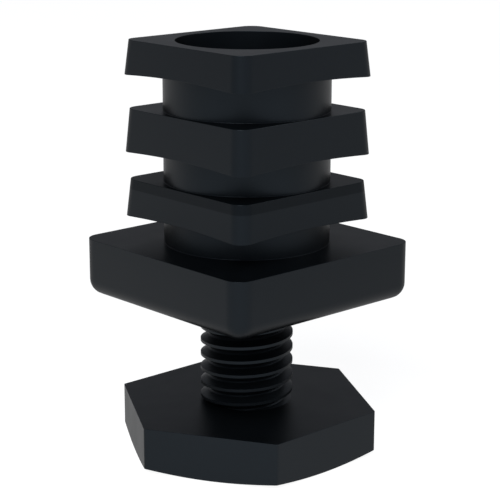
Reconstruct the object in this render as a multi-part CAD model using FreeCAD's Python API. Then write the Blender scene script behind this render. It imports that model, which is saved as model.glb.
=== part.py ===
import FreeCAD, Part
import math
import os

os.makedirs("parts", exist_ok=True)

# Driving sizes in millimetres, angles in degrees
# The square tube that the insert closes
tube_side = 20.0
tube_wall = 2.5
tube_inside = tube_side - 2.0 * tube_wall

# The insert: flange, plug with three barbs, bore and threaded hole
flange_height = 5.0
flange_corner_radius = 1.45
flange_bottom_round = 1.4
plug_clearance = 0.45
plug_wall = 1.05
core_diameter = tube_inside - 2.0 * plug_clearance
bore_diameter = core_diameter - 2.0 * plug_wall
bore_floor_height = 3.0
bore_floor_round = 0.6
barb_lead_in = 0.35
barb_interference = 0.2
barb_top_side = tube_inside - barb_lead_in
barb_bottom_side = tube_inside + barb_interference
barb_corner_radius = 1.2
barb_underside_angle = 5.6
gap_below_lower_barb = 2.04
lower_barb_height = 3.21
gap_below_middle_barb = 2.3
middle_barb_height = 3.7
gap_below_upper_barb = 2.84
upper_barb_height = 2.93

# The foot: M8 stem on a hexagonal base as wide over its flats as the tube
screw_diameter = 8.0
thread_clearance = 0.1
stem_length = 20.0
stem_tip_chamfer = 0.7
hole_chamfer = 0.4
hex_across_flats = tube_side
hex_height = 4.0
hex_chamfer_angle = 13.3
hex_land_step = 0.35
exposed_screw = 9.3

# How far a cutting shape runs past the surface it cuts, and how near two heights count as one
overshoot = 1.0
match = 0.001

# Heights above the floor
hex_middle = hex_height / 2.0
hex_top = hex_height
flange_bottom = hex_top + exposed_screw
flange_middle = flange_bottom + flange_height / 2.0
flange_top = flange_bottom + flange_height
lower_barb_bottom = flange_top + gap_below_lower_barb
lower_barb_top = lower_barb_bottom + lower_barb_height
middle_barb_bottom = lower_barb_top + gap_below_middle_barb
middle_barb_top = middle_barb_bottom + middle_barb_height
upper_barb_bottom = middle_barb_top + gap_below_upper_barb
plug_top = upper_barb_bottom + upper_barb_height
bore_floor = flange_top + bore_floor_height
stem_top = hex_top + stem_length

UP = FreeCAD.Vector(0, 0, 1)
ORIGIN = FreeCAD.Vector(0, 0, 0)


def rounded_square_wire(side, corner_radius, z):
    """Closed wire of a square with round corners, centred on the axis."""
    half = side / 2.0
    inner = half - corner_radius
    swing = corner_radius * math.sqrt(0.5)
    edges = []
    for quarter in range(4):
        turn = quarter * math.pi / 2.0

        def at(x, y):
            return FreeCAD.Vector(
                x * math.cos(turn) - y * math.sin(turn),
                x * math.sin(turn) + y * math.cos(turn),
                z,
            )

        edges.append(Part.makeLine(at(half, -inner), at(half, inner)))
        round_corner = Part.Arc(at(half, inner), at(inner + swing, inner + swing), at(inner, half))
        edges.append(round_corner.toShape())
    return Part.Wire(edges)


def revolved(points):
    """Solid of revolution about Z from (radius, z) points."""
    corners = [FreeCAD.Vector(radius, 0, z) for radius, z in points]
    face = Part.Face(Part.makePolygon(corners + corners[:1]))
    return face.revolve(ORIGIN, UP, 360)


def at_height(shape, z):
    """Edges of a shape that lie flat at one height."""
    flat = []
    for edge in shape.Edges:
        box = edge.BoundBox
        if abs(box.ZMin - z) < match and abs(box.ZMax - z) < match:
            flat.append(edge)
    return flat


def barb(bottom, top):
    """Square barb that widens downwards, with a slightly conical underside."""
    widening = (barb_bottom_side - barb_top_side) / (top - bottom)
    lowest_side = barb_bottom_side + widening * overshoot
    solid = Part.makeLoft(
        [
            rounded_square_wire(lowest_side, barb_corner_radius, bottom - overshoot),
            rounded_square_wire(barb_top_side, barb_corner_radius, top),
        ],
        True,
        True,
    )
    slope = math.tan(math.radians(barb_underside_angle))
    corner_reach = (barb_bottom_side / 2.0 - barb_corner_radius) * math.sqrt(2.0) + barb_corner_radius
    far = corner_reach + overshoot
    far_bottom = bottom - slope * overshoot
    under = revolved(
        [
            (0, bottom + slope * corner_reach),
            (far, far_bottom),
            (far, far_bottom - overshoot),
            (0, far_bottom - overshoot),
        ]
    )
    return solid.cut(under)


# Insert: one moulding, square flange below and barbed plug above
flange_outline = rounded_square_wire(tube_side, flange_corner_radius, flange_bottom)
flange = Part.Face(flange_outline).extrude(UP * flange_height)
flange = flange.makeFillet(flange_bottom_round, at_height(flange, flange_bottom))

core = Part.makeCylinder(core_diameter / 2.0, plug_top - flange_middle)
core.translate(UP * flange_middle)

insert = flange.fuse(
    [
        core,
        barb(lower_barb_bottom, lower_barb_top),
        barb(middle_barb_bottom, middle_barb_top),
        barb(upper_barb_bottom, plug_top),
    ]
)

# Blind bore from the top, round at the foot of its wall
bore = Part.makeCylinder(bore_diameter / 2.0, plug_top - bore_floor + overshoot)
bore.translate(UP * bore_floor)
bore = bore.makeFillet(bore_floor_round, at_height(bore, bore_floor))
insert = insert.cut(bore)

# Hole for the screw, with a lead-in at its mouth
hole_radius = screw_diameter / 2.0 + thread_clearance
hole = revolved(
    [
        (0, flange_bottom - overshoot),
        (hole_radius + hole_chamfer + overshoot, flange_bottom - overshoot),
        (hole_radius, flange_bottom + hole_chamfer),
        (hole_radius, bore_floor + overshoot),
        (0, bore_floor + overshoot),
    ]
)
insert = insert.cut(hole).removeSplitter()

# Foot: one moulding, hexagonal base and screw stem
hex_radius = hex_across_flats / math.sqrt(3.0)
hex_corners = []
for corner in range(6):
    turn = corner * math.pi / 3.0
    hex_corners.append(FreeCAD.Vector(hex_radius * math.cos(turn), hex_radius * math.sin(turn), 0))
base = Part.Face(Part.makePolygon(hex_corners + hex_corners[:1])).extrude(UP * hex_height)

# The underside is bevelled all round, down to a round land that stands on the floor
land_radius = hex_across_flats / 2.0 - hex_land_step
bevel_slope = math.tan(math.radians(hex_chamfer_angle))
outside = hex_radius + overshoot
base = base.common(
    revolved(
        [
            (0, 0),
            (land_radius, 0),
            (outside, bevel_slope * (outside - land_radius)),
            (outside, hex_height + overshoot),
            (0, hex_height + overshoot),
        ]
    )
)
screw_radius = screw_diameter / 2.0
stem = revolved(
    [
        (0, hex_middle),
        (screw_radius, hex_middle),
        (screw_radius, stem_top - stem_tip_chamfer),
        (screw_radius - stem_tip_chamfer, stem_top),
        (0, stem_top),
    ]
)
foot = base.fuse(stem).removeSplitter()

for name, shape in (("tube_insert", insert), ("levelling_foot", foot)):
    solids = shape.Solids
    if len(solids) != 1 or not solids[0].isValid():
        raise RuntimeError(name + " did not come out as one sound solid")
    solids[0].exportStep("parts/" + name + ".step")
    box = solids[0].optimalBoundingBox()
    print(name, "volume", round(solids[0].Volume, 1), "mm3")
    print("  wide", round(box.XLength, 2), "by", round(box.YLength, 2), "mm")
    print("  from", round(box.ZMin, 2), "to", round(box.ZMax, 2), "mm above the floor")
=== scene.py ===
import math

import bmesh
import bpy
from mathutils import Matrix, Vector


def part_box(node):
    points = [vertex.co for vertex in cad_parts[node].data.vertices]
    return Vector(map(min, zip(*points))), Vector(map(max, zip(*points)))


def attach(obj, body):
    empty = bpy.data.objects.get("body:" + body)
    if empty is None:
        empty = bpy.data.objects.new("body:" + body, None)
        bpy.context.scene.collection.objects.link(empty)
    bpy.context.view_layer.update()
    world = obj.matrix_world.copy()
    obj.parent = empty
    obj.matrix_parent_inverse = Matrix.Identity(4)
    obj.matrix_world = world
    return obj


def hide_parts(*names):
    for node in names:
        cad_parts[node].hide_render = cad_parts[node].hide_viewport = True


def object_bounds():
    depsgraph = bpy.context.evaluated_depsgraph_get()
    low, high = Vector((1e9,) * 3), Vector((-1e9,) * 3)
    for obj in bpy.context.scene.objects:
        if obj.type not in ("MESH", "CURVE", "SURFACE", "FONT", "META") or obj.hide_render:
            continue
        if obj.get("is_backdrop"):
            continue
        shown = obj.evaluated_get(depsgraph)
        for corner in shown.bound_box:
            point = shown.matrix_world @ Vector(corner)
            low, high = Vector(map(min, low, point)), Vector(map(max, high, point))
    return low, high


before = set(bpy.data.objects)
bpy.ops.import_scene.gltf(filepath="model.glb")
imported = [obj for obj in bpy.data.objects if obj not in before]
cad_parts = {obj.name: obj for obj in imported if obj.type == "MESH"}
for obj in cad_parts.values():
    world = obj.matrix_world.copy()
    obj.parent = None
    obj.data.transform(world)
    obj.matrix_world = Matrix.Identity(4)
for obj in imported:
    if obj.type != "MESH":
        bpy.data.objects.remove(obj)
cad_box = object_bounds()

# %% [markdown]
# # A levelling foot for a square tube
# The object is two black plastic mouldings: a square insert that is pushed into the end of a table leg, and
# a foot with an M8 screw that is turned to level the table. Both were drawn and packed as solids first, so
# this lesson only gives them their finished surfaces: fine edges, the thread, the plastic and the light.
# Everything below is in metres, and sizes are written in millimetres times MM.

MM = 0.001
insert_low, insert_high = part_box("tube_insert")
foot_low, foot_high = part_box("levelling_foot")
print("insert from", round(insert_low[2] / MM, 2), "to", round(insert_high[2] / MM, 2), "mm")
print("foot from", round(foot_low[2] / MM, 2), "to", round(foot_high[2] / MM, 2), "mm")

# %% [markdown]
# ## Camera
# The photograph looks down at one corner of the square, from a little to the right of it, through a long
# lens. A camera could be placed by eye, but its distance, height and lens were measured from the object's
# own edges, so they are written here as real sizes: how far away it stands, how high, and which way it
# turns.

# %% Where the camera stands
CAMERA_AZIMUTH = math.radians(-42.52)
CAMERA_ELEVATION = math.radians(14.69)
CAMERA_ROLL = math.radians(0.136)
CAMERA_DISTANCE = 136.82 * MM
LOOK_AT_HEIGHT = 17.34 * MM
LOOK_AT_RIGHT = 0.27 * MM

right = Vector((math.cos(CAMERA_AZIMUTH), math.sin(CAMERA_AZIMUTH), 0))
front = Vector((math.sin(CAMERA_AZIMUTH), -math.cos(CAMERA_AZIMUTH), 0))
back = front * math.cos(CAMERA_ELEVATION) + Vector((0, 0, math.sin(CAMERA_ELEVATION)))
up = back.cross(right)
look_at = Vector((0, 0, LOOK_AT_HEIGHT)) + right * LOOK_AT_RIGHT
print("towards the camera:", [round(v, 3) for v in back])

# %% Camera
SENSOR_WIDTH_MM = 36.0
LENS_MM = 115.1
NEAREST_SEEN = 10.0 * MM

rolled_right = right * math.cos(CAMERA_ROLL) + up * math.sin(CAMERA_ROLL)
rolled_up = up * math.cos(CAMERA_ROLL) - right * math.sin(CAMERA_ROLL)
axes = Matrix((rolled_right, rolled_up, back)).transposed()
camera_data = bpy.data.cameras.new("camera")
camera_data.sensor_width = SENSOR_WIDTH_MM
camera_data.lens = LENS_MM
camera_data.clip_start = NEAREST_SEEN
camera = bpy.data.objects.new("camera", camera_data)
camera.matrix_world = Matrix.Translation(look_at + back * CAMERA_DISTANCE) @ axes.to_4x4()
bpy.context.collection.objects.link(camera)
bpy.context.scene.camera = camera
print("camera at", [round(v / MM, 1) for v in camera.matrix_world.translation], "mm")

# %% [markdown]
# ## Colours and nodes
# Colours are written as sRGB hex values, as they would be picked from a screen, and one function turns them
# into the linear values that Blender's shaders work with. A second function adds a node with its settings
# and its links in one call, so that each material below reads as a list of what it is made of.

# %% Colour and node helpers
SRGB_STRAIGHT_PART_END = 0.04045
SRGB_STRAIGHT_PART_SLOPE = 12.92
SRGB_OFFSET = 0.055
SRGB_POWER = 2.4
OPAQUE = 1.0


def linear(hex_colour):
    """Linear RGBA of an sRGB hex colour such as #1c1d1f."""
    rgba = []
    for i in (1, 3, 5):
        channel = int(hex_colour[i:i + 2], 16) / 255
        if channel <= SRGB_STRAIGHT_PART_END:
            rgba.append(channel / SRGB_STRAIGHT_PART_SLOPE)
        else:
            rgba.append(((channel + SRGB_OFFSET) / (1 + SRGB_OFFSET)) ** SRGB_POWER)
    return rgba + [OPAQUE]


def add(tree, kind, inputs, **settings):
    """Adds a node with its settings; an input is linked to a node or an output, and set to anything else."""
    node = tree.nodes.new(kind)
    for name, value in settings.items():
        setattr(node, name, value)
    for socket, value in inputs.items():
        if isinstance(value, bpy.types.Node):
            tree.links.new(value.outputs[0], node.inputs[socket])
        elif isinstance(value, bpy.types.NodeSocket):
            tree.links.new(value, node.inputs[socket])
        else:
            node.inputs[socket].default_value = value
    return node


print("mid grey #808080 in linear light:", [round(v, 3) for v in linear("#808080")])

# %% [markdown]
# ## Black moulded plastic
# Both pieces are injection-moulded in plastic coloured black right through: tough polyethylene for the
# insert and stiff polyamide for the foot. Hardly any light comes back from inside it, so the eye sees
# almost only the satin reflection of the surroundings, faint when a face is seen square on and stronger
# along it. A flat black with one roughness would do from far away. Here a faint cloudiness in roughness and
# a fine mould grain break the reflection up a little, as they do on the real surface. Along a face that
# grain shades itself, so Layer Weight turns the mirroring down there. The white floor that is mirrored here
# is brighter than the room that such parts are usually seen in, so all of it is set below the shader's
# usual half.

# %% Plastic
PLASTIC_BLACK = "#020304"
PLASTIC_BLACK_WORN = "#050709"
PLASTIC_IOR = 1.5
MIRROR_TINT = "#d9edff"
# With this blend, Layer Weight gives one less the cosine of the angle that a face is turned away.
COSINE_BLEND = 0.5
TURNED_FAR_AWAY = 1 - math.cos(math.radians(75))
CLOUD_SIZE = 3.0 * MM
CLOUD_DETAIL = 3.0
# The real grain is finer than a pixel of the picture, so it is drawn about two pixels wide.
GRAIN_SIZE = 0.18 * MM
GRAIN_DETAIL = 2.0
GRAIN_DEPTH = 0.0012 * MM


def moulded_plastic(name, roughness, mirror):
    """Satin black plastic; roughness is the lowest and highest, and mirror is square on and along a face."""
    material = bpy.data.materials.new(name)
    material.use_nodes = True
    tree = material.node_tree
    tree.nodes.clear()
    smoothest, roughest = roughness
    square_on, along = mirror
    place = add(tree, "ShaderNodeTexCoord", {}).outputs["Object"]
    clouds = add(tree, "ShaderNodeTexNoise", {
        "Vector": place,
        "Scale": 1 / CLOUD_SIZE,
        "Detail": CLOUD_DETAIL,
    })
    grain = add(tree, "ShaderNodeTexNoise", {
        "Vector": place,
        "Scale": 1 / GRAIN_SIZE,
        "Detail": GRAIN_DETAIL,
    })
    black = add(tree, "ShaderNodeValToRGB", {"Fac": clouds})
    black.color_ramp.elements[0].color = linear(PLASTIC_BLACK)
    black.color_ramp.elements[1].color = linear(PLASTIC_BLACK_WORN)
    satin = add(tree, "ShaderNodeMapRange", {"Value": clouds, "To Min": smoothest, "To Max": roughest})
    bump = add(tree, "ShaderNodeBump", {"Height": grain, "Strength": 1.0, "Distance": GRAIN_DEPTH})
    turned_away = add(tree, "ShaderNodeLayerWeight", {"Blend": COSINE_BLEND}).outputs["Facing"]
    gleam = add(tree, "ShaderNodeMapRange", {
        "Value": turned_away,
        "From Max": TURNED_FAR_AWAY,
        "To Min": square_on,
        "To Max": along,
    })
    shader = add(tree, "ShaderNodeBsdfPrincipled", {
        "Base Color": black,
        "Roughness": satin,
        "Normal": bump,
        "IOR": PLASTIC_IOR,
        "Specular IOR Level": gleam,
        "Specular Tint": linear(MIRROR_TINT),
    })
    add(tree, "ShaderNodeOutputMaterial", {"Surface": shader})
    return material


print("mould grain", round(GRAIN_SIZE / MM, 2), "mm, clouds", round(CLOUD_SIZE / MM, 1), "mm")

# %% Three plastics
INSERT_ROUGHNESS = (0.35, 0.43)
FOOT_ROUGHNESS = (0.38, 0.46)
INSERT_MIRROR = (0.24, 0.055)
# Painted shade: the band under the barb above mirrors less than the rest of the insert
PAINTED_SHADE_MIRROR = (0.157, 0.036)
FOOT_MIRROR = (0.282, 0.068)

insert_plastic = moulded_plastic("black_polyethylene_moulded", INSERT_ROUGHNESS, INSERT_MIRROR)
# A copy of the insert's plastic that mirrors less, as painted shade on the band of the lowest barb
painted_shade_plastic = moulded_plastic("black_polyethylene_painted_shade", INSERT_ROUGHNESS, PAINTED_SHADE_MIRROR)
foot_plastic = moulded_plastic("black_polyamide_moulded", FOOT_ROUGHNESS, FOOT_MIRROR)
print("plastics:", insert_plastic.name + ",", painted_shade_plastic.name, "and", foot_plastic.name)

# %% [markdown]
# ## Rings
# Seen from above, every level of both mouldings is a circle, a square with round corners or a hexagon. So a
# whole piece can be made as a lathe would turn it, from rings stacked along its profile, if each ring may
# have its own outline. The points of a ring lie in fixed directions round the axis, close together near the
# corners and wider apart elsewhere, so that the round corners come out smooth and the flat sides stay
# light.

# %% Directions round the axis
COARSE_STEP = 3.0
FINE_STEP = 0.75
FINE_REACH = 7.5
SQUARE_CORNERS = [45, 135, 225, 315]
HEXAGON_CORNERS = [0, 60, 120, 180, 240, 300]


def directions(corners):
    """Directions in radians round the axis, close together near the given corners in degrees."""
    degrees = {COARSE_STEP * k for k in range(round(360 / COARSE_STEP))}
    fine_steps = round(FINE_REACH / FINE_STEP)
    clear_of_fine = FINE_REACH + FINE_STEP / 2
    for corner in corners:
        degrees = {d for d in degrees if abs((d - corner + 180) % 360 - 180) > clear_of_fine}
        degrees |= {(corner + FINE_STEP * k) % 360 for k in range(-fine_steps, fine_steps + 1)}
    return [math.radians(d) for d in sorted(degrees)]


print("directions for a square:", len(directions(SQUARE_CORNERS)))
print("directions for a hexagon:", len(directions(HEXAGON_CORNERS)))

# %% [markdown]
# One formula gives the distance from the axis to such an outline in any direction: along a flat side it is
# the half width over a cosine, and near a corner it is where the direction meets the corner's arc. A circle
# is the same shape with a corner as large as its half width, so no second formula is needed.

# %% Distance to an outline
def reach(direction, corners, half_width, corner_radius):
    """Distance from the axis to a regular polygon with round corners, in one direction."""
    half_side = math.pi / len(corners)
    from_corner = (direction - math.radians(corners[0])) % (2 * half_side)
    from_flat = abs(from_corner - half_side)
    arc_middle = (half_width - corner_radius) / math.cos(half_side)
    flat = half_width / math.cos(from_flat)
    if flat * math.sin(from_flat) <= arc_middle * math.sin(half_side):
        return flat
    along = arc_middle * math.cos(half_side - from_flat)
    return along + math.sqrt(max(along ** 2 - arc_middle ** 2 + corner_radius ** 2, 0))


flange_half = insert_high[0]
to_square_corner = math.radians(SQUARE_CORNERS[0])
sharp_corner = reach(to_square_corner, SQUARE_CORNERS, flange_half, 0)
print("the flange would reach", round(sharp_corner / MM, 2), "mm at a sharp corner")

# %% [markdown]
# A ring is written as its half width, its corner radius and its height. Some rings lie on a cone, as the
# undersides of the barbs do, so their points rise with a slope towards the axis. Neighbouring rings are
# joined by faces. A profile that comes back to its start makes a closed skin by itself, and any other gets
# two end faces.

# %% Stacked rings
LEVEL = (0.0, 0.0)


def outline(half_width, corner_radius, height, cone=LEVEL):
    """A ring with round corners; a cone is a slope, and the radius where it is at the ring's height."""
    return (half_width, corner_radius, height, *cone)


def circle(radius, height, cone=LEVEL):
    """A round ring."""
    return outline(radius, radius, height, cone)


def turned_piece(name, rings, corners, closed):
    """Mesh object from rings along a profile, which is closed where it comes back to its start."""
    around = directions(corners)
    mesh = bmesh.new()
    loops = []
    for half_width, corner_radius, height, slope, cone_radius in rings:
        loop = []
        for direction in around:
            r = reach(direction, corners, half_width, corner_radius)
            z = height + slope * (cone_radius - r)
            loop.append(mesh.verts.new((r * math.cos(direction), r * math.sin(direction), z)))
        loops.append(loop)
    if closed:
        loops.append(loops[0])
    else:
        mesh.faces.new(loops[0])
        mesh.faces.new(loops[-1])
    for lower, upper in zip(loops, loops[1:]):
        for k in range(len(around)):
            n = (k + 1) % len(around)
            mesh.faces.new((lower[k], lower[n], upper[n], upper[k]))
    bmesh.ops.recalc_face_normals(mesh, faces=mesh.faces)
    data = bpy.data.meshes.new(name)
    mesh.to_mesh(data)
    mesh.free()
    piece = bpy.data.objects.new(name, data)
    bpy.context.collection.objects.link(piece)
    return piece


print("a round ring 12 mm wide:", circle(6 * MM, 0.0))

# %% [markdown]
# A mould cannot make a perfectly sharp edge, so the edges that turn by more than 35 degrees get a very
# small bevel that catches a thin line of light. Curves are then shaded smooth and edges stay crisp. The
# limit between the two is lower than a step of the bevel on a square edge, which keeps the flat faces
# beside it flat to the eye.

# %% Edges
EDGE_ROUND = 0.03 * MM
EDGE_SEGMENTS = 2
EDGE_ANGLE = math.radians(35)
SMOOTH_ANGLE = math.radians(15)


def finished(piece):
    """Turns a piece and its modifiers into a plain mesh with smooth curves and crisp edges."""
    graph = bpy.context.evaluated_depsgraph_get()
    data = bpy.data.meshes.new_from_object(piece.evaluated_get(graph))
    piece.modifiers.clear()
    piece.data = data
    data.shade_smooth()
    data.set_sharp_from_angle(angle=SMOOTH_ANGLE)
    return len(data.polygons)


def soften_edges(piece):
    """Bevels the sharp edges of a piece and finishes it."""
    bevel = piece.modifiers.new("moulded_edges", "BEVEL")
    bevel.width = EDGE_ROUND
    bevel.segments = EDGE_SEGMENTS
    bevel.limit_method = "ANGLE"
    bevel.angle_limit = EDGE_ANGLE
    return finished(piece)


print("edges rounded by", round(EDGE_ROUND / MM, 2), "mm")

# %% [markdown]
# ## The insert
# The insert is one moulding. Its flange covers the end of the tube, and three square barbs on a round
# hollow core grip inside it. Modelling it as boxes and booleans would leave torn shading, so the rings run
# once round its profile instead: up the screw hole, up the bore, over the top, and down the outside. The
# hole and the bore come first. The floor of the bore meets its wall in a small round, as a mould's core pin
# leaves it.

# %% Hole and bore
FLANGE_HEIGHT = 5.0 * MM
BORE_RADIUS = 6.0 * MM
BORE_FLOOR_HEIGHT = 3.0 * MM
BORE_FLOOR_ROUND = 0.6 * MM
SCREW_RADIUS = 4.0 * MM
THREAD_CLEARANCE = 0.1 * MM
HOLE_RADIUS = SCREW_RADIUS + THREAD_CLEARANCE
HOLE_CHAMFER = 0.4 * MM
ROUND_STEPS = 8

flange_bottom = insert_low[2]
flange_top = flange_bottom + FLANGE_HEIGHT
bore_floor = flange_top + BORE_FLOOR_HEIGHT
plug_top = insert_high[2]
quarter = [math.pi / 2 * k / ROUND_STEPS for k in range(ROUND_STEPS + 1)]

rings = [
    circle(HOLE_RADIUS + HOLE_CHAMFER, flange_bottom),
    circle(HOLE_RADIUS, flange_bottom + HOLE_CHAMFER),
    circle(HOLE_RADIUS, bore_floor),
]
for turn in quarter:
    wall_inset = BORE_FLOOR_ROUND * (1 - math.sin(turn))
    rings.append(circle(BORE_RADIUS - wall_inset, bore_floor + BORE_FLOOR_ROUND * (1 - math.cos(turn))))
rings.append(circle(BORE_RADIUS, plug_top))
print("rings inside:", len(rings), "and the bore is", round((plug_top - bore_floor) / MM, 2), "mm deep")

# %% [markdown]
# Each barb widens downwards, so that it slides into the tube and holds there. Its underside is a shallow
# cone that rises towards the core, which is why its lower edges look arched. The barbs differ only in
# height and in the gap below them, so one loop makes them from the top down. The lowest has a band along
# its top edge, under the barb above, where painted shade makes it mirror less than the rest, and a ring of
# its own marks where that band ends.

# %% Barbs
CORE_RADIUS = 7.05 * MM
BARB_TOP_HALF = 7.325 * MM
BARB_BOTTOM_HALF = 7.6 * MM
BARB_CORNER = 1.2 * MM
BARB_UNDERSIDE_SLOPE = math.tan(math.radians(5.6))
BARB_HEIGHTS = [2.93 * MM, 3.7 * MM, 3.21 * MM]
GAPS_BELOW_BARBS = [2.84 * MM, 2.3 * MM, 2.04 * MM]
BANDS_ON_BARBS = [0, 0, 0.85 * MM]

barb_corner_reach = reach(to_square_corner, SQUARE_CORNERS, BARB_BOTTOM_HALF, BARB_CORNER)
underside = (BARB_UNDERSIDE_SLOPE, barb_corner_reach)
barb_top = plug_top
for height, gap, band in zip(BARB_HEIGHTS, GAPS_BELOW_BARBS, BANDS_ON_BARBS):
    barb_bottom = barb_top - height
    rings.append(circle(CORE_RADIUS, barb_top))
    rings.append(outline(BARB_TOP_HALF, BARB_CORNER, barb_top))
    if band:
        band_top = barb_top
        band_bottom = barb_top - band
        widening = (BARB_BOTTOM_HALF - BARB_TOP_HALF) * band / height
        rings.append(outline(BARB_TOP_HALF + widening, BARB_CORNER, band_bottom))
    rings.append(outline(BARB_BOTTOM_HALF, BARB_CORNER, barb_bottom, underside))
    rings.append(circle(CORE_RADIUS, barb_bottom, underside))
    barb_top = barb_bottom - gap
print("the lowest gap ends", round((barb_top - flange_top) / MM, 3), "mm above the flange")

# %% [markdown]
# The flange's upright corners are round, and so is the edge all round its underside, where a hand or a shoe
# would meet it. As the edge rolls under, each ring is smaller than the last and so is its corner. That ends
# the profile, and the last ring closes onto the first.

# %% Flange and the whole insert
FLANGE_CORNER = 1.45 * MM
FLANGE_ROUND = 1.4 * MM

rings.append(circle(CORE_RADIUS, flange_top))
rings.append(outline(flange_half, FLANGE_CORNER, flange_top))
for turn in quarter:
    inset = FLANGE_ROUND * (1 - math.cos(turn))
    height = flange_bottom + FLANGE_ROUND * (1 - math.sin(turn))
    rings.append(outline(flange_half - inset, FLANGE_CORNER - inset, height))
insert = turned_piece("tube_insert_moulding", rings, SQUARE_CORNERS, closed=True)
print("insert rings:", len(rings), "and faces:", soften_edges(insert))

# %% [markdown]
# The band on the lowest barb could be a separate strip, but it is the same moulding. So only the faces
# between its two heights take a copy of the plastic that mirrors less, as painted shade under the barb
# above, and that copy is the second material of the insert.

# %% Painted shade on the band
insert.data.materials.clear()
insert.data.materials.append(insert_plastic)
insert.data.materials.append(painted_shade_plastic)
band_faces = 0
for face in insert.data.polygons:
    outside = math.hypot(face.center.x, face.center.y) > CORE_RADIUS
    if outside and band_bottom < face.center.z < band_top:
        face.material_index = 1
        band_faces += 1
print("faces in the band:", band_faces)

# %% [markdown]
# ## The foot's hexagonal base
# The base is a hexagon so that a spanner can turn it. Below, a shallow cone takes its corners off the
# floor, as on a bolt head, and where the cone meets the flat sides the lower edges bow down in the middle.
# The same rings make it: the cone is a ring whose height follows its distance from the axis.

# %% Base
BASE_HEIGHT = 4.0 * MM
LAND_RADIUS = 9.65 * MM
CHAMFER_SLOPE = math.tan(math.radians(13.3))
HEX_CORNER = 0.15 * MM

hex_half = foot_high[1]
floor_height = foot_low[2]
base_top = floor_height + BASE_HEIGHT
base_rings = [
    circle(LAND_RADIUS, floor_height),
    outline(hex_half, HEX_CORNER, floor_height, cone=(-CHAMFER_SLOPE, LAND_RADIUS)),
    outline(hex_half, HEX_CORNER, base_top),
]
base = turned_piece("hexagonal_base", base_rings, HEXAGON_CORNERS, closed=False)
print("base faces:", soften_edges(base))

# %% [markdown]
# ## The screw thread
# The stem carries a right-handed M8 thread: a ridge that climbs 1.25 mm in each turn, with flanks at 60
# degrees. Bump in a material would leave a smooth outline, and a sweep along a spiral curve twists at its
# ends. So Geometry Nodes bend a flat grid round the stem. The tree's inputs are named first, so that the
# sizes of the stem stay outside it.

# %% Thread inputs
THREAD_INPUTS = {
    "Stem bottom": "NodeSocketFloat",
    "Stem top": "NodeSocketFloat",
    "Stem radius": "NodeSocketFloat",
    "Root radius": "NodeSocketFloat",
    "Tip cone": "NodeSocketFloat",
    "Pitch": "NodeSocketFloat",
    "Ridge height": "NodeSocketFloat",
    "Grid length": "NodeSocketFloat",
    "Grid middle": "NodeSocketFloat",
    "Rows": "NodeSocketInt",
    "Plastic": "NodeSocketMaterial",
}

tree = bpy.data.node_groups.new("screw_thread", "GeometryNodeTree")
sockets = {}
for label, kind in THREAD_INPUTS.items():
    sockets[label] = tree.interface.new_socket(label, in_out="INPUT", socket_type=kind).identifier
tree.interface.new_socket("Thread", in_out="OUTPUT", socket_type="NodeSocketGeometry")
given = add(tree, "NodeGroupInput", {}).outputs
print("thread inputs:", len(sockets))

# %% [markdown]
# Across the grid runs the angle round the stem, and up the grid the height. The grid is sheared by one
# pitch in a turn, so that its rows run along the thread and the ridge keeps clean edges. Rows that would
# pass the stem's ends are pressed flat there, and later merge into one loop.

# %% Thread grid
COLUMNS = 120
FULL_TURN = 2 * math.pi
MATH = "ShaderNodeMath"

grid = add(tree, "GeometryNodeMeshGrid", {
    "Size X": FULL_TURN,
    "Size Y": given["Grid length"],
    "Vertices X": COLUMNS + 1,
    "Vertices Y": given["Rows"],
})
spot = add(tree, "ShaderNodeSeparateXYZ", {"Vector": add(tree, "GeometryNodeInputPosition", {})}).outputs
turns = add(tree, MATH, {0: spot["X"], 1: FULL_TURN}, operation="DIVIDE")
climb = add(tree, MATH, {0: turns, 1: given["Pitch"]}, operation="MULTIPLY")
row = add(tree, MATH, {0: spot["Y"], 1: given["Grid middle"]}, operation="ADD")
sheared = add(tree, MATH, {0: row, 1: climb}, operation="ADD")
rise = add(tree, "ShaderNodeClamp", {"Value": sheared, "Min": given["Stem bottom"], "Max": given["Stem top"]})
print("points round the stem:", COLUMNS)

# %% [markdown]
# How far a point is from the middle of the ridge, counted in pitches, goes from 0 to a half and back. That
# share gives its distance from the axis: the crest is flat, the flank slopes down to the root, and the tip
# of the stem is a cone that narrows by as much as it rises.

# %% Thread profile
CREST_SHARE = 0.2
FLANK_SHARE = 0.35
HALF_A_PITCH = 0.5

unwound = add(tree, MATH, {0: rise, 1: climb}, operation="SUBTRACT")
above = add(tree, MATH, {0: unwound, 1: given["Ridge height"]}, operation="SUBTRACT")
pitches = add(tree, MATH, {0: above, 1: given["Pitch"]}, operation="DIVIDE")
from_ridge = add(tree, MATH, {0: pitches, 1: HALF_A_PITCH}, operation="PINGPONG")
flank = add(tree, "ShaderNodeMapRange", {
    "Value": from_ridge,
    "From Min": CREST_SHARE / 2,
    "From Max": CREST_SHARE / 2 + FLANK_SHARE,
    "To Min": given["Stem radius"],
    "To Max": given["Root radius"],
})
tip = add(tree, MATH, {0: given["Tip cone"], 1: rise}, operation="SUBTRACT")
radius = add(tree, MATH, {0: flank, 1: tip}, operation="MINIMUM")
print("share of a pitch: crest", CREST_SHARE, "and each flank", FLANK_SHARE)

# %% [markdown]
# Angle, height and radius give each point its place. Points that now lie together are merged, which closes
# the seam down the side of the stem.

# %% Thread output
MERGE_DISTANCE = 0.001 * MM

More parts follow.
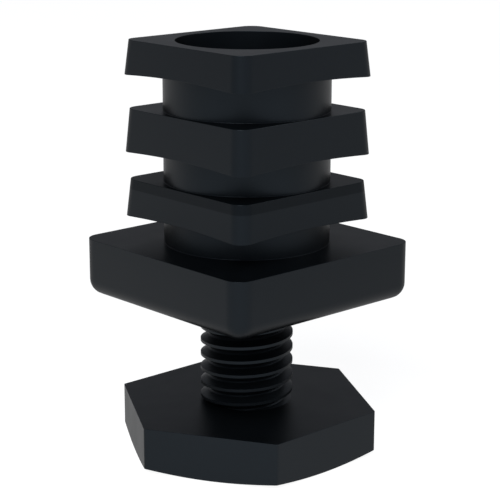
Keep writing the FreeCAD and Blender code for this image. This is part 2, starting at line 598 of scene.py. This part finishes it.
cosine = add(tree, MATH, {0: spot["X"]}, operation="COSINE")
sine = add(tree, MATH, {0: spot["X"]}, operation="SINE")
point = add(tree, "ShaderNodeCombineXYZ", {
    "X": add(tree, MATH, {0: radius, 1: cosine}, operation="MULTIPLY"),
    "Y": add(tree, MATH, {0: radius, 1: sine}, operation="MULTIPLY"),
    "Z": rise,
})
placed = add(tree, "GeometryNodeSetPosition", {"Geometry": grid, "Position": point})
merged = add(tree, "GeometryNodeMergeByDistance", {"Geometry": placed, "Distance": MERGE_DISTANCE})
real = add(tree, "GeometryNodeRealizeInstances", {"Geometry": merged})
coated = add(tree, "GeometryNodeSetMaterial", {"Geometry": real, "Material": given["Plastic"]})
add(tree, "NodeGroupOutput", {"Thread": coated})
print("thread tree:", len(tree.nodes), "nodes")

# %% [markdown]
# ## The foot
# The tree's sizes are set on the modifier, and its result becomes a plain mesh. The flanks of a metric
# thread stand at 60 degrees to each other, so the pitch gives the depth of the groove. The grid starts
# where one of its rows runs along the middle of the ridge, so that the crest keeps its full width.

# %% Stem
PITCH = 1.25 * MM
HALF_FLANK_ANGLE = math.radians(30)
RIDGE_HEIGHT_AT_X = 0.22 * MM
ROWS_IN_A_PITCH = 10
TIP_CHAMFER = 0.7 * MM
STEM_SUNK = 2.0 * MM

thread_depth = FLANK_SHARE * PITCH / math.tan(HALF_FLANK_ANGLE)
stem_bottom = base_top - STEM_SUNK
stem_top = foot_high[2]
row_step = PITCH / ROWS_IN_A_PITCH
rows_to_start = math.floor((stem_bottom - PITCH / 2 - RIDGE_HEIGHT_AT_X) / row_step)
first_row = RIDGE_HEIGHT_AT_X + row_step * rows_to_start
rows = math.ceil((stem_top + PITCH / 2 - first_row) / row_step) + 1
grid_length = (rows - 1) * row_step
stem_values = {
    "Stem bottom": stem_bottom,
    "Stem top": stem_top,
    "Stem radius": SCREW_RADIUS,
    "Root radius": SCREW_RADIUS - thread_depth,
    "Tip cone": stem_top + SCREW_RADIUS - TIP_CHAMFER,
    "Pitch": PITCH,
    "Ridge height": RIDGE_HEIGHT_AT_X,
    "Grid length": grid_length,
    "Grid middle": first_row + grid_length / 2,
    "Rows": rows,
    "Plastic": foot_plastic,
}

stem_data = bpy.data.meshes.new("levelling_foot_moulding")
foot = bpy.data.objects.new("levelling_foot_moulding", stem_data)
bpy.context.collection.objects.link(foot)
thread = foot.modifiers.new("thread", "NODES")
thread.node_group = tree
for label, value in stem_values.items():
    thread[sockets[label]] = value
print("stem faces:", finished(foot), "with grooves", round(thread_depth / MM, 3), "mm deep")

# %% [markdown]
# The stem is a tube so far. Two faces close its ends, and a boolean union then joins stem and base into the
# one moulding that they are, with no faces left inside.

# %% Stem and base in one
shell = bmesh.new()
shell.from_mesh(foot.data)
bmesh.ops.holes_fill(shell, edges=shell.edges, sides=0)
bmesh.ops.recalc_face_normals(shell, faces=shell.faces)
open_edges = sum(1 for edge in shell.edges if not edge.is_manifold)
shell.to_mesh(foot.data)
shell.free()
print("open edges on the stem:", open_edges)

union = foot.modifiers.new("one_moulding", "BOOLEAN")
union.operation = "UNION"
union.solver = "EXACT"
union.object = base
print("foot faces:", finished(foot))
bpy.data.objects.remove(base)
foot.data.materials.clear()
foot.data.materials.append(foot_plastic)

# %% [markdown]
# ## Joining the frame
# Each finished moulding stands for its solid and moves with that solid's body, so the insert can still rise
# and sink on the screw.

# %% Bodies
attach(insert, "insert")
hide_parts("tube_insert")
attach(foot, "foot")
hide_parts("levelling_foot")
for piece in (insert, foot):
    low = [round(min(v.co[axis] for v in piece.data.vertices) / MM, 2) for axis in range(3)]
    high = [round(max(v.co[axis] for v in piece.data.vertices) / MM, 2) for axis in range(3)]
    print(piece.name, "from", low, "to", high, "mm")

# %% [markdown]
# ## Floor
# The photograph stands on plain white. A floor lit until it is white would throw too much light on the
# object, so the floor itself shows white to the camera and to reflections, less the object's own shadow,
# and an ordinary soft light falls on everything. A wide disc is enough: it runs past the edges of the
# picture.

# %% Floor disc
FLOOR_RADIUS = 6.0
FLOOR_SEGMENTS = 64

floor_shape = bmesh.new()
bmesh.ops.create_circle(floor_shape, cap_ends=True, segments=FLOOR_SEGMENTS, radius=FLOOR_RADIUS)
floor_data = bpy.data.meshes.new("floor")
floor_shape.to_mesh(floor_data)
floor_shape.free()
floor = bpy.data.objects.new("floor", floor_data)
floor.location.z = floor_height
bpy.context.collection.objects.link(floor)
floor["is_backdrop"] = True
print("floor of", 2 * FLOOR_RADIUS, "m")

# %% [markdown]
# The light comes from the front and from the left, so the floor's glow is painted a little paler there, as
# that light would make it, and the sides of the object mirror that difference. Light Path tells which rays
# come from the camera or from a reflection, and only those see the glow. The paint below it takes the shadow.

# %% Floor material
# Painted light: the floor's glow is stronger on the side that the light comes from
GLOW_NEAR_LIGHT = 1.0
GLOW_FAR_FROM_LIGHT = 0.81
GLOW_REACH = 25.0 * MM
LIGHT_FROM_LEFT = math.radians(30)
FLOOR_PAINT = "#7c7c7c"

light_side = front * math.cos(LIGHT_FROM_LEFT) - right * math.sin(LIGHT_FROM_LEFT)
floor_material = bpy.data.materials.new("white_floor")
floor_material.use_nodes = True
floor_tree = floor_material.node_tree
floor_tree.nodes.clear()
path = add(floor_tree, "ShaderNodeLightPath", {}).outputs
seen = add(floor_tree, MATH, {0: path["Is Camera Ray"], 1: path["Is Glossy Ray"]}, operation="MAXIMUM")
seen = add(floor_tree, MATH, {0: seen, 1: path["Is Transmission Ray"]}, operation="MAXIMUM")
place = add(floor_tree, "ShaderNodeTexCoord", {}).outputs["Object"]
nearness = add(floor_tree, "ShaderNodeVectorMath", {0: place, 1: light_side}, operation="DOT_PRODUCT")
pale = add(floor_tree, "ShaderNodeMapRange", {
    "Value": nearness.outputs["Value"],
    "From Min": -GLOW_REACH,
    "From Max": GLOW_REACH,
    "To Min": GLOW_FAR_FROM_LIGHT,
    "To Max": GLOW_NEAR_LIGHT,
})
strength = add(floor_tree, MATH, {0: pale, 1: seen}, operation="MULTIPLY")
glow = add(floor_tree, "ShaderNodeEmission", {"Strength": strength})
paint = add(floor_tree, "ShaderNodeBsdfDiffuse", {"Color": linear(FLOOR_PAINT)})
both = add(floor_tree, "ShaderNodeAddShader", {0: glow, 1: paint})
add(floor_tree, "ShaderNodeOutputMaterial", {"Surface": both})
floor_data.materials.append(floor_material)
print("floor glow", GLOW_NEAR_LIGHT, "near the light and", GLOW_FAR_FROM_LIGHT, "far from it")

# %% [markdown]
# ## Light
# The flat tops mirror the room behind the object, and it is darker there than in front and to both sides. The
# upright sides mirror mostly the floor and some of the paler room. A picture of a room could be wrapped
# round the scene, but a smooth step from pale to darker gives the same soft reflections and is easier to
# set.

# %% Room
ROOM_COLOUR = "#f2f6ff"
ROOM_PALE = 0.7
ROOM_BEHIND = 0.41
# Cosines of the angle from straight behind, between which the room grows darker
DARKER_FROM = 0.5
DARKEST_FROM = 0.9

world = bpy.data.worlds.new("room")
world.use_nodes = True
room = world.node_tree
room.nodes.clear()
way = add(room, "ShaderNodeTexCoord", {}).outputs["Generated"]
behind = add(room, "ShaderNodeVectorMath", {0: way, 1: -front}, operation="DOT_PRODUCT")
brightness = add(room, "ShaderNodeMapRange", {
    "Value": behind.outputs["Value"],
    "From Min": DARKER_FROM,
    "From Max": DARKEST_FROM,
    "To Min": ROOM_PALE,
    "To Max": ROOM_BEHIND,
}, interpolation_type="SMOOTHSTEP")
walls = add(room, "ShaderNodeBackground", {"Color": linear(ROOM_COLOUR), "Strength": brightness})
add(room, "ShaderNodeOutputWorld", {"Surface": walls})
bpy.context.scene.world = world
print("room from", ROOM_PALE, "in front to", ROOM_BEHIND, "behind")

# %% [markdown]
# A large lamp in front of the object, a little to the left, gives soft light and the shadow on the floor,
# and a weaker one stands on the right. Smaller lamps would show as bright spots on the satin plastic.

# %% Lamps
LAMP_SIZE = 0.5
# Each lamp has a place in metres and a power in watts
LAMPS = {
    "key_lamp": ((-0.55, -0.35, 0.75), 6.0),
    "fill_lamp": ((0.6, -0.6, 0.7), 3.0),
}

for name, (place, watts) in LAMPS.items():
    lamp_data = bpy.data.lights.new(name, "AREA")
    lamp_data.size = LAMP_SIZE
    lamp_data.energy = watts
    lamp = bpy.data.objects.new(name, lamp_data)
    lamp.location = place
    lamp.rotation_euler = (-Vector(place)).to_track_quat("-Z", "Y").to_euler()
    bpy.context.collection.objects.link(lamp)
    print(name, "at", place, "with", watts, "W")
bpy.context.scene.view_settings.view_transform = "Standard"

# %% [markdown]
# ## Sizes
# The finished model has to keep the solids' size, so both boxes are printed side by side.

# %% Sizes and finish
visual_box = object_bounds()
boxes = {"cad": cad_box, "visual": visual_box}
for name, box in boxes.items():
    print(name, "box:", [[round(v / MM, 2) for v in corner] for corner in box], "mm")
